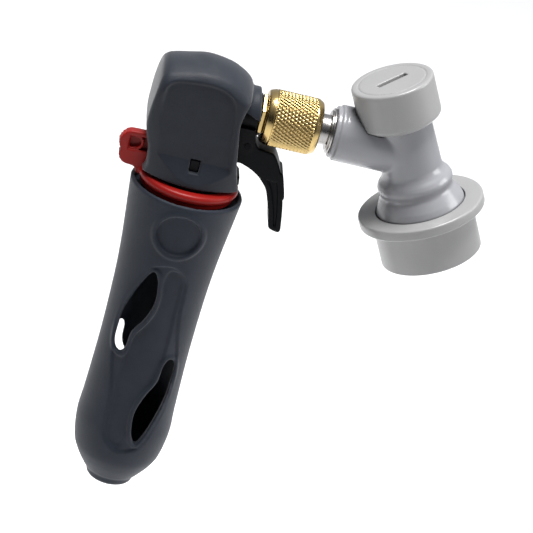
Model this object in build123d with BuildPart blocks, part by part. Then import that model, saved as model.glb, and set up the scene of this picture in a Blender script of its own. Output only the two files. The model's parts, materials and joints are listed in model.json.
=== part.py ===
"""Hand-held CO2 keg charger: trigger valve head, screw-on cartridge holder and gas ball-lock disconnect.

All sizes are millimetres. The origin is on the handle's axis, in the plane of the holder's rim.
+Z runs up the handle to the head and +X runs along the brass outlet to the disconnect.
"""

import os
from math import cos, radians, sin

from build123d import *

# Running and assembly clearances
RUN = 0.1
FIT = 0.05

# Cartridge holder (the handle)
HANDLE_LENGTH = 96.0
RIM_RADIUS = 16.2
RIM_INNER = 15.2
RIM_DEPTH = 2.6
WAIST_RADIUS = 13.12
BELLY_RADIUS = 13.85
BOSS_RADIUS = 6.4
CAVITY_RADIUS = 11.45
CAVITY_FLOOR = -87.7
PAD_FLOOR = -89.0
PAD_RADIUS = 5.3
THREAD_DEPTH = 11.0
EMBLEM_Z = -9.4
EMBLEM_RADIUS = 6.3
EMBLEM_FACE = 14.1
PATTERN_Z = -50.0

# Neck of the valve body, where the holder and the cartridge screw on
NECK_RADIUS = 12.45
NECK_BOTTOM = -9.5
NECK_TOP = 2.2
NECK_PITCH = 2.0
PORT_RADIUS = 4.76
PORT_TOP = 0.1
SEAL_Z = 1.6
SEAL_RADIUS = 4.4
SEAL_TOP = 2.8
PIN_BASE_TOP = 5.5

# Safety ring
RING_OUTER = 14.4
RING_INNER = 12.7
RING_BOTTOM = -1.3
RING_TOP = 3.5
TAB_HALF_WIDTH = 1.5
TAB_LOOP_HALF = 1.2
TAB_REACH = 13.2
TOOTH_ANGLE = 70.0
TOOTH_HALF_WIDTH = 1.6
RING_EDGE = 1.2
RING_LEDGE = 11.0

# Valve body and cover
COLUMN_BACK = -9.0
COLUMN_FRONT = 8.6
COLUMN_HALF = 7.0
COLUMN_FOOT = 7.5
COLUMN_TOP = 31.5
STEM_Z = 12.8
SEAT_X = 1.5
PLUG_FACE = -7.0
THROAT_END = 4.2
GLAND_START = 5.6
THROAT_RADIUS = 1.9
INLET_RADIUS = 3.0
BOSS_OUTER = 5.9
BOSS_END = 13.9
ADAPTER_BORE = 4.35
COVER_HALF = 10.5
COVER_WALL = 1.9
LIP_Z = 3.9
LIP_ARC = 20.0
LIP_HALF = 11.5
HOOD_RADIUS = 7.6
HOOD_END = 14.9

# Trigger
TRIGGER_HALF = 4.2
PIVOT_X = 12.6
PIVOT_Z = 18.0
PIVOT_PIN = 0.9

# Brass outlet, on an axis along +X
OUTLET_Z = 25.6
GAS_WAY = 1.6
SWIVEL_RADIUS = 2.45
SWIVEL_COLLAR = 20.4
SWIVEL_END = 23.2
WASHER_THICKNESS = 0.9
HEX_START = 14.2
HEX_WIDTH = 1.2
HEX_FLATS = 11.0
NUT_START = 15.6
NUT_END = 31.2
NUT_RADIUS = 8.0
FLARE_THREAD = 5.5
SHANK_RADIUS = 4.3
STEEL_FLANGE = 6.5
FLANGE_START = 33.9
INSERT_RADIUS = 4.9
INSERT_END = 39.4
ARM_START = 35.2
ARM_STEP = 36.5
ARM_END_RADIUS = 7.3

# Disconnect, on an axis that leans back over the nut
POST_X = 57.0
POST_LEAN = 27.7
TUBE_RADIUS = 8.35
ARM_RADIUS = 7.95
CHAMBER_RADIUS = 6.2
CHAMBER_FLOOR = -8.0
TUBE_TOP = 18.3
SEAT_FACE = -14.0
POPPET_HOLE = 3.0
ARM_GAS_WAY = 2.2
SOCKET_RADIUS = 8.75
SLEEVE_RADIUS = 12.0
SLEEVE_END = -31.9
SOCKET_TOP = -17.0
GUIDE_END = -22.9
MOUTH_RADIUS = 9.15
CAP_FOOT = 7.9
CAP_RIM = 9.9
CAP_TOP = 21.2
CAP_FOOT_RADIUS = 9.0
CAP_RADIUS = 11.65
CAP_SLOT = (9.2, 1.2)
CAP_SLOT_DEPTH = 1.5
CLIP_LOW = -31.2
CLIP_HIGH = -30.4
CLIP_INNER = 11.3
FLANGE_RADIUS = 18.0
FLANGE_TOP = -17.0
FLANGE_THICKNESS = 3.0
SKIRT_RADIUS = 14.4
SKIRT_END = -32.7
BALL_RADIUS = 2.0
BALL_H = -25.0
BALL_CENTRE = 10.0
BALL_COUNT = 3
BALL_START_ANGLE = 30

OUTLET_AXIS = Axis((0, 0, OUTLET_Z), (1, 0, 0))
STEM_AXIS = Axis((0, 0, STEM_Z), (1, 0, 0))
POST_ORIGIN = Vector(POST_X, 0, OUTLET_Z)
POST_UP = Vector(-sin(radians(POST_LEAN)), 0, cos(radians(POST_LEAN)))
POST_OUT = Vector(cos(radians(POST_LEAN)), 0, sin(radians(POST_LEAN)))
POST_AXIS = Axis(POST_ORIGIN, POST_UP)
POST_SECTION = Plane(origin=POST_ORIGIN, x_dir=POST_OUT, z_dir=(0, -1, 0))
POST_PLANE = Plane(origin=POST_ORIGIN, x_dir=POST_OUT, z_dir=POST_UP)

os.makedirs("parts", exist_ok=True)


def save(builder, label):
    """Label a finished piece and write its STEP file."""
    builder.part.label = label
    export_step(builder.part, f"parts/{label}.step")


def outline(points, plane=Plane.XZ):
    """A closed straight-sided outline on a plane."""
    with BuildSketch(plane) as face:
        with BuildLine():
            Polyline(*points, close=True)
        make_face()
    return face.sketch


def band(inner, outer, low, high):
    """Half section of a plain ring: radii and heights along a turning axis."""
    return [(inner, low), (outer, low), (outer, high), (inner, high)]


def along_outlet(points):
    """Section points given as (x, radius) about the outlet axis, on the XZ plane."""
    return [(x, OUTLET_Z + radius) for x, radius in points]


def along_stem(points):
    """Section points given as (x, radius) about the valve stem's axis, on the XZ plane."""
    return [(x, STEM_Z + radius) for x, radius in points]


def rod(start, end, outer, inner=0.0):
    """Half section of a rod or tube as (x, radius) points."""
    return [(start, inner), (end, inner), (end, outer), (start, outer)]


# Cartridge holder: a soft-touch tube with a swollen foot and a pair of leaf windows on each side

HOLDER_SKIN = [
    (RIM_RADIUS, -0.7),
    (15.3, -8.0),
    (14.1, -20.0),
    (13.4, -32.0),
    (WAIST_RADIUS, PATTERN_Z),
    (13.5, -68.0),
    (BELLY_RADIUS, -76.5),
    (12.85, -84.0),
    (11.2, -88.0),
    (8.4, -92.0),
    (BOSS_RADIUS + 0.3, -93.4),
]
WINDOW = [
    (-4.0, -22.7),
    (-1.8, -28.0),
    (-1.7, -34.0),
    (-5.2, -43.0),
    (-6.4, -50.0),
    (-9.0, -48.6),
    (-9.2, -40.0),
    (-7.4, -31.0),
]


def half_turned(points):
    """The same outline turned half a turn about the middle of the window pattern."""
    return [(-x, 2 * PATTERN_Z - z) for x, z in points]


def mirrored(points):
    """The outline as the far side needs it: the near side turned half a turn about Z."""
    return [(-x, z) for x, z in points]


with BuildPart() as cartridge_holder:
    with BuildSketch(Plane.XZ):
        with BuildLine():
            Polyline((RIM_INNER, -RIM_DEPTH), (RIM_INNER, 0), (RIM_RADIUS - 0.5, 0), HOLDER_SKIN[0])
            Spline(*HOLDER_SKIN)
            Polyline(
                HOLDER_SKIN[-1],
                (BOSS_RADIUS, 0.8 - HANDLE_LENGTH),
                (BOSS_RADIUS - 1.1, -HANDLE_LENGTH),
                (0, -HANDLE_LENGTH),
                (0, PAD_FLOOR),
                (PAD_RADIUS, PAD_FLOOR),
                (PAD_RADIUS, CAVITY_FLOOR),
                (7.6, CAVITY_FLOOR + 0.5),
                (10.3, -84.0),
                (CAVITY_RADIUS, -77.0),
                (CAVITY_RADIUS, -THREAD_DEPTH),
                (NECK_RADIUS + RUN, -THREAD_DEPTH),
                (NECK_RADIUS + RUN, -RIM_DEPTH),
                (RIM_INNER, -RIM_DEPTH),
            )
        make_face()
    revolve(axis=Axis.Z)
    for near in (WINDOW, half_turned(WINDOW)):
        with BuildSketch(Plane.XZ):
            with BuildLine():
                Spline(*near, periodic=True)
            make_face()
        extrude(amount=2 * RIM_RADIUS, mode=Mode.SUBTRACT)
        with BuildSketch(Plane.XZ):
            with BuildLine():
                Spline(*mirrored(near), periodic=True)
            make_face()
        extrude(amount=-2 * RIM_RADIUS, mode=Mode.SUBTRACT)
    with BuildSketch(Plane.XZ.offset(EMBLEM_FACE)):
        with Locations((0, EMBLEM_Z)):
            Circle(EMBLEM_RADIUS)
    extrude(amount=RIM_RADIUS, mode=Mode.SUBTRACT)
save(cartridge_holder, "cartridge_holder")

with BuildPart() as cartridge_pad:
    revolve(outline(band(0, PAD_RADIUS - 0.3, PAD_FLOOR + RUN, CAVITY_FLOOR + 0.5)), axis=Axis.Z)
save(cartridge_pad, "cartridge_pad")

# Safety ring: a rounded band with a thumb tab at the back and a tooth that blocks the trigger

TAB_OUTLINE = [
    (-TAB_REACH, 0.3),
    (-14.6, 0.3),
    (-15.4, 2.9),
    (-18.6, 2.8),
    (-19.7, 3.2),
    (-20.4, 4.0),
    (-21.1, 6.0),
    (-20.9, 7.1),
    (-21.7, 8.9),
    (-21.7, 10.3),
    (-20.7, 11.6),
    (-19.4, 12.4),
    (-TAB_REACH, 12.4),
    (-TAB_REACH, 11.5),
    (-18.6, 11.5),
    (-18.6, 7.4),
    (-TAB_REACH, 7.4),
]
TAB_LOOP = [(-18.7, 7.3), (-15.4, 7.3), (-14.8, 9.1), (-15.2, 11.0), (-16.3, 11.6), (-18.7, 11.6)]
TAB_EYE = [(-18.6, 8.0), (-16.9, 8.0), (-15.8, 8.9), (-15.7, 10.2), (-16.4, 11.0), (-18.6, 11.0)]
TAB_WEB = [(-19.0, 7.0), (-TAB_REACH, 7.0), (-TAB_REACH, 12.0), (-19.0, 12.0)]
TAB_WEB_HALF = 0.4
TOOTH_OUTLINE = [(14.0, 0.3), (15.4, 0.3), (20.4, 2.4), (20.4, 5.0), (18.6, 5.6), (15.4, 3.2), (14.0, 3.2)]
TOOTH_PLANE = Plane(origin=(0, 0, 0), x_dir=(1, 0, 0), z_dir=(0, -1, 0)).rotated((0, 0, TOOTH_ANGLE))

with BuildPart() as safety_ring:
    revolve(outline(band(RING_INNER, RING_OUTER, RING_BOTTOM, RING_TOP - 0.2)), axis=Axis.Z)
    fillet(safety_ring.edges().filter_by(GeomType.CIRCLE).sort_by(SortBy.RADIUS)[-2:], radius=RING_EDGE)
    revolve(outline(band(RING_LEDGE, RING_INNER + 0.2, NECK_TOP + RUN, RING_TOP)), axis=Axis.Z)
    extrude(outline(TAB_OUTLINE), amount=TAB_HALF_WIDTH, both=True)
    extrude(outline(TAB_LOOP), amount=TAB_LOOP_HALF, both=True)
    extrude(outline(TAB_EYE), amount=RIM_RADIUS, both=True, mode=Mode.SUBTRACT)
    extrude(outline(TAB_WEB), amount=TAB_WEB_HALF, both=True)
    extrude(outline(TOOTH_OUTLINE, TOOTH_PLANE), amount=TOOTH_HALF_WIDTH, both=True)
save(safety_ring, "safety_ring")

# Valve body: threaded neck, column with the trigger valve and the outlet boss

EAR_INNER = TRIGGER_HALF + 0.5
EAR_OUTER = EAR_INNER + 2.0
EAR_TOP = 23.0
EAR_FOOT = 15.6
EAR_OUTLINE = [
    (COLUMN_FRONT - 1.0, EAR_FOOT),
    (PIVOT_X + 0.6, EAR_FOOT),
    (PIVOT_X + 2.0, PIVOT_Z - 1.0),
    (PIVOT_X + 2.0, PIVOT_Z + 1.0),
    (PIVOT_X + 1.2, EAR_TOP),
    (COLUMN_FRONT - 1.0, EAR_TOP),
]
LATCH_LOW = 8.1
LATCH_HIGH = 11.2
LATCH_LEFT = -1.5
LATCH_RIGHT = 0.8
LATCH_REACH = 8.9
GUARD_OUTLINE = [
    (COLUMN_FRONT - 1.0, 4.1),
    (13.1, 4.1),
    (13.6, 5.0),
    (13.3, 7.0),
    (12.0, 8.2),
    (COLUMN_FRONT - 1.0, 8.2),
]
GUARD_HALF = 3.2
NECK_GROOVES = 4
SHOULDER_RADIUS = 10.7
FOOT_RADIUS = 9.4
PIN_SEAT_RADIUS = 3.05
GAS_HOLE = 0.9
RISER_X = 3.0
ADAPTER_SEAT = 5.0

with BuildPart() as valve_body:
    revolve(outline(band(0, NECK_RADIUS, NECK_BOTTOM, NECK_TOP)), axis=Axis.Z)
    for turn in range(NECK_GROOVES):
        groove = NECK_BOTTOM + 1.0 + turn * NECK_PITCH
        groove_section = [
            (NECK_RADIUS - 0.8, groove + 0.6),
            (NECK_RADIUS + 1, groove - 0.9),
            (NECK_RADIUS + 1, groove + 2.1),
        ]
        revolve(outline(groove_section), axis=Axis.Z, mode=Mode.SUBTRACT)
    revolve(outline(band(0, SHOULDER_RADIUS, NECK_TOP, LIP_Z - 0.2)), axis=Axis.Z)
    revolve(outline(band(0, FOOT_RADIUS, LIP_Z - 0.2, COLUMN_FOOT)), axis=Axis.Z)
    with BuildSketch(Plane.XY.offset(COLUMN_FOOT)):
        with Locations(((COLUMN_BACK + COLUMN_FRONT) / 2, 0)):
            RectangleRounded(COLUMN_FRONT - COLUMN_BACK, 2 * COLUMN_HALF, 1.5)
    extrude(amount=COLUMN_TOP - COLUMN_FOOT)
    revolve(outline(along_outlet(rod(COLUMN_FRONT - 1, BOSS_END, BOSS_OUTER))), axis=OUTLET_AXIS)
    extrude(outline(GUARD_OUTLINE), amount=GUARD_HALF, both=True)
    for side in (-1, 1):
        with BuildSketch(Plane.XZ.offset(-side * EAR_INNER)):
            with BuildLine():
                Polyline(*EAR_OUTLINE, close=True)
            make_face()
        extrude(amount=-side * (EAR_OUTER - EAR_INNER))
        with BuildSketch(Plane.XZ.offset(-side * (COLUMN_HALF - 0.5))):
            with Locations(((LATCH_LEFT + LATCH_RIGHT) / 2, (LATCH_LOW + LATCH_HIGH) / 2)):
                Rectangle(LATCH_RIGHT - LATCH_LEFT, LATCH_HIGH - LATCH_LOW)
        extrude(amount=-side * (LATCH_REACH - COLUMN_HALF + 0.5))
    # cartridge port, thread relief, seal seat, pin seat and gas way
    revolve(outline(band(0, PORT_RADIUS, NECK_BOTTOM, PORT_TOP)), axis=Axis.Z, mode=Mode.SUBTRACT)
    revolve(outline(band(0, PORT_RADIUS + 0.3, PORT_TOP, SEAL_Z)), axis=Axis.Z, mode=Mode.SUBTRACT)
    revolve(outline(band(0, SEAL_RADIUS, SEAL_Z, SEAL_TOP)), axis=Axis.Z, mode=Mode.SUBTRACT)
    revolve(outline(band(0, PIN_SEAT_RADIUS, SEAL_TOP, PIN_BASE_TOP)), axis=Axis.Z, mode=Mode.SUBTRACT)
    revolve(outline(band(0, GAS_HOLE, PIN_BASE_TOP, STEM_Z)), axis=Axis.Z, mode=Mode.SUBTRACT)
    # valve bore: inlet chamber, throat, seal pocket and gland thread
    for start, end, radius in (
        (COLUMN_BACK, SEAT_X, INLET_RADIUS),
        (SEAT_X, THROAT_END, THROAT_RADIUS),
        (THROAT_END, GLAND_START, 2.6),
        (GLAND_START, COLUMN_FRONT, 3.4),
    ):
        revolve(outline(along_stem(rod(start, end, radius))), axis=STEM_AXIS, mode=Mode.SUBTRACT)
    # riser from the throat to the outlet port
    with BuildSketch(Plane.XY.offset(STEM_Z)):
        with Locations((RISER_X, 0)):
            Circle(GAS_HOLE)
    extrude(amount=OUTLET_Z - STEM_Z, mode=Mode.SUBTRACT)
    revolve(outline(along_outlet(rod(2.0, ADAPTER_SEAT, GAS_WAY))), axis=OUTLET_AXIS, mode=Mode.SUBTRACT)
    adapter_bore = outline(along_outlet(rod(ADAPTER_SEAT, BOSS_END, ADAPTER_BORE)))
    revolve(adapter_bore, axis=OUTLET_AXIS, mode=Mode.SUBTRACT)
    # bore for the trigger pin
    with BuildSketch(Plane.XZ):
        with Locations((PIVOT_X, PIVOT_Z)):
            Circle(PIVOT_PIN + FIT)
    extrude(amount=EAR_OUTER, both=True, mode=Mode.SUBTRACT)
save(valve_body, "valve_body")

with BuildPart() as cartridge_seal:
    revolve(outline(band(1.3, SEAL_RADIUS - FIT, SEAL_Z + FIT, SEAL_TOP - FIT)), axis=Axis.Z)
save(cartridge_seal, "cartridge_seal")

with BuildPart() as piercing_pin:
    pin_section = [(0.45, 0.2), (0.6, 0.2), (1.1, 1.3), (1.1, 2.9), (3.0, 2.9), (3.0, 5.4), (0.45, 5.4)]
    revolve(outline(pin_section), axis=Axis.Z)
save(piercing_pin, "piercing_pin")

DRIVER_SLOT = 0.9

with BuildPart() as valve_plug:
    revolve(outline(along_stem(rod(COLUMN_BACK + FIT, PLUG_FACE, INLET_RADIUS - FIT))), axis=STEM_AXIS)
    with BuildSketch(Plane.YZ.offset(COLUMN_BACK)):
        with Locations((0, STEM_Z)):
            Rectangle(4.2, DRIVER_SLOT)
    extrude(amount=DRIVER_SLOT, mode=Mode.SUBTRACT)
save(valve_plug, "valve_plug")

VALVE_SPRING_WIRE = 0.3
VALVE_SPRING_RADIUS = 2.0
VALVE_SPRING_PITCH = 1.06
VALVE_SPRING_TURNS = 5

with BuildPart() as valve_spring:
    with BuildLine() as valve_coil:
        Helix(
            pitch=VALVE_SPRING_PITCH,
            height=VALVE_SPRING_TURNS * VALVE_SPRING_PITCH,
            radius=VALVE_SPRING_RADIUS,
            center=(PLUG_FACE + 0.4, 0, STEM_Z),
            direction=STEM_AXIS.direction,
        )
    with BuildSketch(Plane(origin=valve_coil.line @ 0, z_dir=valve_coil.line % 0)):
        Circle(VALVE_SPRING_WIRE)
    sweep()
save(valve_spring, "valve_spring")

STEM_ROD = 1.2
STEM_TIP = PIVOT_X - 2.35
STEM_DISC = 2.5
STEM_DISC_HALF = 0.9
ORING_WIRE = 0.62
GLAND_END = 8.5

with BuildPart() as valve_stem:
    stem_section = [
        (-2.6, 0),
        (STEM_TIP, 0),
        (STEM_TIP - 0.2, 0.6),
        (STEM_TIP - 1.2, STEM_ROD),
        (STEM_DISC_HALF, STEM_ROD),
        (STEM_DISC_HALF, STEM_DISC),
        (-STEM_DISC_HALF, STEM_DISC),
        (-STEM_DISC_HALF, 1.4),
        (-2.6, 1.4),
    ]
    revolve(outline(along_stem(stem_section)), axis=STEM_AXIS)
save(valve_stem, "valve_stem")

with BuildPart() as stem_seal:
    seal_section = rod(STEM_DISC_HALF + 0.02, SEAT_X - FIT, STEM_DISC, STEM_ROD + 0.02)
    revolve(outline(along_stem(seal_section)), axis=STEM_AXIS)
save(stem_seal, "stem_seal")

with BuildPart() as stem_oring:
    with BuildSketch(Plane.XZ):
        with Locations(((THROAT_END + GLAND_START) / 2, STEM_Z + 1.93)):
            Circle(ORING_WIRE)
    revolve(axis=STEM_AXIS)
save(stem_oring, "stem_oring")

with BuildPart() as stem_gland:
    revolve(outline(along_stem(rod(GLAND_START + FIT, GLAND_END, 3.35, STEM_ROD + 0.08))), axis=STEM_AXIS)
    for slot_side in (-1, 1):
        with BuildSketch(Plane.YZ.offset(GLAND_END)):
            with Locations((slot_side * 2.4, STEM_Z)):
                Rectangle(DRIVER_SLOT, DRIVER_SLOT)
        extrude(amount=-DRIVER_SLOT, mode=Mode.SUBTRACT)
save(stem_gland, "stem_gland")

# Head cover: a one-piece shell over the valve body

COVER_SIDE = [
    (-14.0, LIP_Z),
    (-14.0, 12.6),
    (-15.4, 14.0),
    (-16.0, 17.0),
    (-16.2, 22.0),
    (-15.9, 30.0),
    (-15.3, 34.0),
    (-13.6, 36.3),
    (-7.8, 38.0),
    (-2.9, 38.9),
    (3.1, 38.3),
    (7.0, 36.8),
    (10.6, 34.0),
    (10.6, 30.0),
    (8.9, 27.0),
    (10.9, 15.3),
    (11.6, 10.6),
    (13.4, LIP_Z),
]
COVER_CAVITY = [
    (-12.0, 0),
    (-12.0, 13.0),
    (-14.0, 16.0),
    (-14.2, 22.0),
    (-13.9, 30.0),
    (-13.2, 33.2),
    (-7.8, 34.8),
    (-2.9, 35.5),
    (3.1, 35.0),
    (7.4, 33.4),
    (7.4, 0),
]
COLUMN_ROOM = [
    (0, 0),
    (0, 33.0),
    (8.7, 33.0),
    (8.7, 27.5),
    (20.0, 25.0),
    (20.0, 14.5),
    (8.7, 14.5),
    (8.7, 0),
]
COLUMN_ROOM_HALF = 7.4
TRIGGER_MOUTH = [(8.0, 0), (8.0, 15.0), (20.0, 15.0), (20.0, 0)]
TRIGGER_MOUTH_HALF = 5.4
TOP_CHAMFER = 3.3
LIP_LENGTH = 27.4
LIP_TAPER = 6
LIP_HEIGHT = 8.6
LIP_TRIM = 2.4
TAB_ROOM_RADIUS = 13.1
TAB_ROOM_WALL = 11.7
TAB_ROOM_TOP = 13.0
TAB_ROOM_SIDE = -2.2
TAB_ROOM_FRONT = -1.0
TOOTH_ROOM_RADIUS = 15.1
TOOTH_ROOM_TOP = 6.2
ROOF = 1.4
WELL_OUTSIDE = 30.0
WINDOW_CLEARANCE = 0.35

with BuildPart() as head_cover:
    extrude(outline(COVER_SIDE), amount=COVER_HALF, both=True)
    top_edges = head_cover.edges().filter_by(lambda edge: edge.center().Z > 33 and abs(edge.center().Y) > 10)
    chamfer(top_edges, length=TOP_CHAMFER)
    # lens-shaped lip that flares out below the flat sides
    with BuildSketch(Plane.XY.offset(LIP_Z)):
        with Locations((0, LIP_ARC - LIP_HALF)):
            Circle(LIP_ARC)
        with Locations((0, LIP_HALF - LIP_ARC)):
            Circle(LIP_ARC, mode=Mode.INTERSECT)
        Rectangle(LIP_LENGTH, 2 * WELL_OUTSIDE, mode=Mode.INTERSECT)
    extrude(amount=LIP_HEIGHT, taper=LIP_TAPER)
    revolve(outline(along_outlet(rod(5.0, HOOD_END, HOOD_RADIUS))), axis=OUTLET_AXIS)
    # corners below the lens stay inside the lip
    for side in (-1, 1):
        with BuildSketch(Plane.XY.offset(LIP_Z)):
            Rectangle(2 * WELL_OUTSIDE, 2 * WELL_OUTSIDE)
            with Locations((0, side * (LIP_HALF - LIP_ARC))):
                Circle(LIP_ARC, mode=Mode.SUBTRACT)
        extrude(amount=LIP_TRIM, mode=Mode.SUBTRACT)
    extrude(outline(COVER_CAVITY), amount=COVER_HALF - COVER_WALL, both=True, mode=Mode.SUBTRACT)
    extrude(outline(COLUMN_ROOM), amount=COLUMN_ROOM_HALF, both=True, mode=Mode.SUBTRACT)
    extrude(outline(TRIGGER_MOUTH), amount=TRIGGER_MOUTH_HALF, both=True, mode=Mode.SUBTRACT)
    # walled and roofed notch at the back, inside the sweep of the ring's tab
    with BuildSketch(Plane.XY.offset(LIP_Z)):
        with Locations((-13.4, TAB_ROOM_SIDE)):
            Rectangle(-TAB_ROOM_FRONT + 13.4, 9.5 - TAB_ROOM_SIDE, align=(Align.MIN, Align.MIN))
        Circle(TAB_ROOM_WALL, mode=Mode.SUBTRACT)
    extrude(amount=TAB_ROOM_TOP + ROOF - LIP_Z)
    with BuildSketch(Plane.XY):
        with Locations((TAB_ROOM_FRONT, TAB_ROOM_SIDE)):
            Rectangle(WELL_OUTSIDE, WELL_OUTSIDE, align=(Align.MAX, Align.MIN))
        Circle(TAB_ROOM_RADIUS, mode=Mode.SUBTRACT)
    extrude(amount=TAB_ROOM_TOP, mode=Mode.SUBTRACT)
    # clearance for the ring's tooth
    revolve(
        outline(band(TOOTH_ROOM_RADIUS, WELL_OUTSIDE, 0, TOOTH_ROOM_TOP)),
        axis=Axis.Z,
        mode=Mode.SUBTRACT,
    )
    # wider room for the neck inside the lip
    revolve(outline(band(0, FOOT_RADIUS + 0.4, 0, COLUMN_FOOT + 0.3)), axis=Axis.Z, mode=Mode.SUBTRACT)
    # hood bored for the boss
    boss_room = outline(along_outlet(rod(0, WELL_OUTSIDE, BOSS_OUTER + 0.6)))
    revolve(boss_room, axis=OUTLET_AXIS, mode=Mode.SUBTRACT)
    # windows that the body's latches snap into
    with BuildSketch(Plane.XZ):
        with Locations(((LATCH_LEFT + LATCH_RIGHT) / 2, (LATCH_LOW + LATCH_HIGH) / 2)):
            Rectangle(
                LATCH_RIGHT - LATCH_LEFT + 2 * WINDOW_CLEARANCE,
                LATCH_HIGH - LATCH_LOW + 2 * WINDOW_CLEARANCE,
            )
    extrude(amount=LIP_ARC, both=True, mode=Mode.SUBTRACT)
save(head_cover, "head_cover")

# Trigger and its pin

TRIGGER_OUTLINE = [
    (PIVOT_X - 2.25, 18.6),
    (PIVOT_X - 0.9, 19.2),
    (PIVOT_X + 0.9, 19.2),
    (15.2, 18.4),
    (16.2, 17.0),
    (20.3, 16.7),
    (21.8, 15.3),
    (23.4, 12.7),
    (24.7, 10.0),
    (26.0, 5.7),
    (27.1, 1.2),
    (28.0, -3.2),
    (28.3, -5.8),
    (26.5, -6.3),
    (24.5, -4.1),
    (23.5, -0.6),
    (22.2, 3.1),
    (21.1, 5.7),
    (19.4, 7.7),
    (17.6, 9.3),
    (15.0, 10.7),
    (11.2, 12.0),
    (11.0, 10.8),
    (PIVOT_X - 2.25, 10.8),
]
FINGER_PAD = [(23.9, 11.0), (24.7, 11.2), (25.9, 7.8), (26.8, 4.5), (26.3, 4.0), (25.0, 8.0)]
PAD_RISE = 0.3

with BuildPart() as trigger:
    extrude(outline(TRIGGER_OUTLINE), amount=TRIGGER_HALF, both=True)
    extrude(outline(FINGER_PAD), amount=TRIGGER_HALF + PAD_RISE, both=True)
    with BuildSketch(Plane.XZ):
        with Locations((PIVOT_X, PIVOT_Z)):
            Circle(PIVOT_PIN + FIT)
    extrude(amount=COVER_HALF, both=True, mode=Mode.SUBTRACT)
save(trigger, "trigger")

with BuildPart() as trigger_pin:
    with BuildSketch(Plane.XZ):
        with Locations((PIVOT_X, PIVOT_Z)):
            Circle(PIVOT_PIN)
    extrude(amount=EAR_OUTER + 0.2, both=True)
save(trigger_pin, "trigger_pin")

# Brass outlet: hex adapter, swivel stem, captive knurled nut and washer

ADAPTER_START = 5.2
ADAPTER_END = 20.2
ADAPTER_THREAD = 4.3
ADAPTER_NOSE = 4.5

with BuildPart() as outlet_adapter:
    adapter_section = [
        (ADAPTER_START, SWIVEL_RADIUS + FIT),
        (ADAPTER_START, ADAPTER_THREAD),
        (BOSS_END + RUN, ADAPTER_THREAD),
        (BOSS_END + RUN, 5.6),
        (HEX_START, 5.6),
        (HEX_START, ADAPTER_NOSE),
        (ADAPTER_END, ADAPTER_NOSE),
        (ADAPTER_END, SWIVEL_RADIUS + FIT),
    ]
    revolve(outline(along_outlet(adapter_section)), axis=OUTLET_AXIS)
    with BuildSketch(Plane.YZ.offset(HEX_START)):
        with Locations((0, OUTLET_Z)):
            RegularPolygon(radius=HEX_FLATS / 2, side_count=6, major_radius=False)
            Circle(ADAPTER_THREAD, mode=Mode.SUBTRACT)
    extrude(amount=HEX_WIDTH)
save(outlet_adapter, "outlet_adapter")

with BuildPart() as adapter_seal:
    seal_section = rod(ADAPTER_SEAT + 0.03, ADAPTER_START - 0.03, ADAPTER_THREAD - RUN, GAS_WAY + 0.2)
    revolve(outline(along_outlet(seal_section)), axis=OUTLET_AXIS)
save(adapter_seal, "adapter_seal")

with BuildPart() as swivel_stem:
    swivel_section = [
        (8.0, GAS_WAY),
        (8.0, SWIVEL_RADIUS),
        (SWIVEL_COLLAR, SWIVEL_RADIUS),
        (SWIVEL_COLLAR, 5.3),
        (22.2, 5.3),
        (SWIVEL_END, 4.2),
        (SWIVEL_END, GAS_WAY),
    ]
    revolve(outline(along_outlet(swivel_section)), axis=OUTLET_AXIS)
save(swivel_stem, "swivel_stem")

with BuildPart() as flare_washer:
    washer_start = SWIVEL_END + FIT
    washer_section = rod(washer_start, washer_start + WASHER_THICKNESS, 4.6, GAS_WAY)
    revolve(outline(along_outlet(washer_section)), axis=OUTLET_AXIS)
save(flare_washer, "flare_washer")

NUT_COLLAR = 20.1

with BuildPart() as knurled_nut:
    nut_section = [
        (NUT_START, ADAPTER_NOSE + RUN),
        (NUT_START, 6.4),
        (NUT_START + 0.5, 7.4),
        (NUT_START + 1.7, NUT_RADIUS),
        (NUT_END - 1.7, NUT_RADIUS),
        (NUT_END - 0.5, 7.4),
        (NUT_END, 6.8),
        (NUT_END, FLARE_THREAD + RUN),
        (NUT_COLLAR, FLARE_THREAD + RUN),
        (NUT_COLLAR, ADAPTER_NOSE + RUN),
    ]
    revolve(outline(along_outlet(nut_section)), axis=OUTLET_AXIS)
save(knurled_nut, "knurled_nut")

with BuildPart() as flare_fitting:
    fitting_section = [
        (24.2, GAS_WAY),
        (24.2, 3.0),
        (26.6, FLARE_THREAD),
        (30.4, FLARE_THREAD),
        (30.4, SHANK_RADIUS),
        (FLANGE_START, SHANK_RADIUS),
        (FLANGE_START, STEEL_FLANGE),
        (ARM_START - RUN, STEEL_FLANGE),
        (ARM_START - RUN, INSERT_RADIUS),
        (INSERT_END, INSERT_RADIUS),
        (INSERT_END, GAS_WAY),
    ]
    revolve(outline(along_outlet(fitting_section)), axis=OUTLET_AXIS)
save(flare_fitting, "flare_fitting")

# Disconnect body: upright tube with a side arm, a bulged pedestal and a sleeve for the keg post

BODY_SECTION = [
    (0, SEAT_FACE),
    (6.5, SEAT_FACE),
    (6.5, SOCKET_TOP),
    (SOCKET_RADIUS, SOCKET_TOP),
    (SOCKET_RADIUS, GUIDE_END),
    (MOUTH_RADIUS, GUIDE_END),
    (MOUTH_RADIUS, SLEEVE_END),
    (SLEEVE_RADIUS, SLEEVE_END),
    (SLEEVE_RADIUS, -17.5),
    (12.6, -17.5),
    (12.6, -16.8),
    (11.6, -13.6),
    (10.3, -12.0),
    (10.7, -10.2),
    (10.2, -8.4),
    (8.8, -7.0),
    (TUBE_RADIUS, -6.0),
    (TUBE_RADIUS, TUBE_TOP),
    (0, TUBE_TOP),
]

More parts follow.
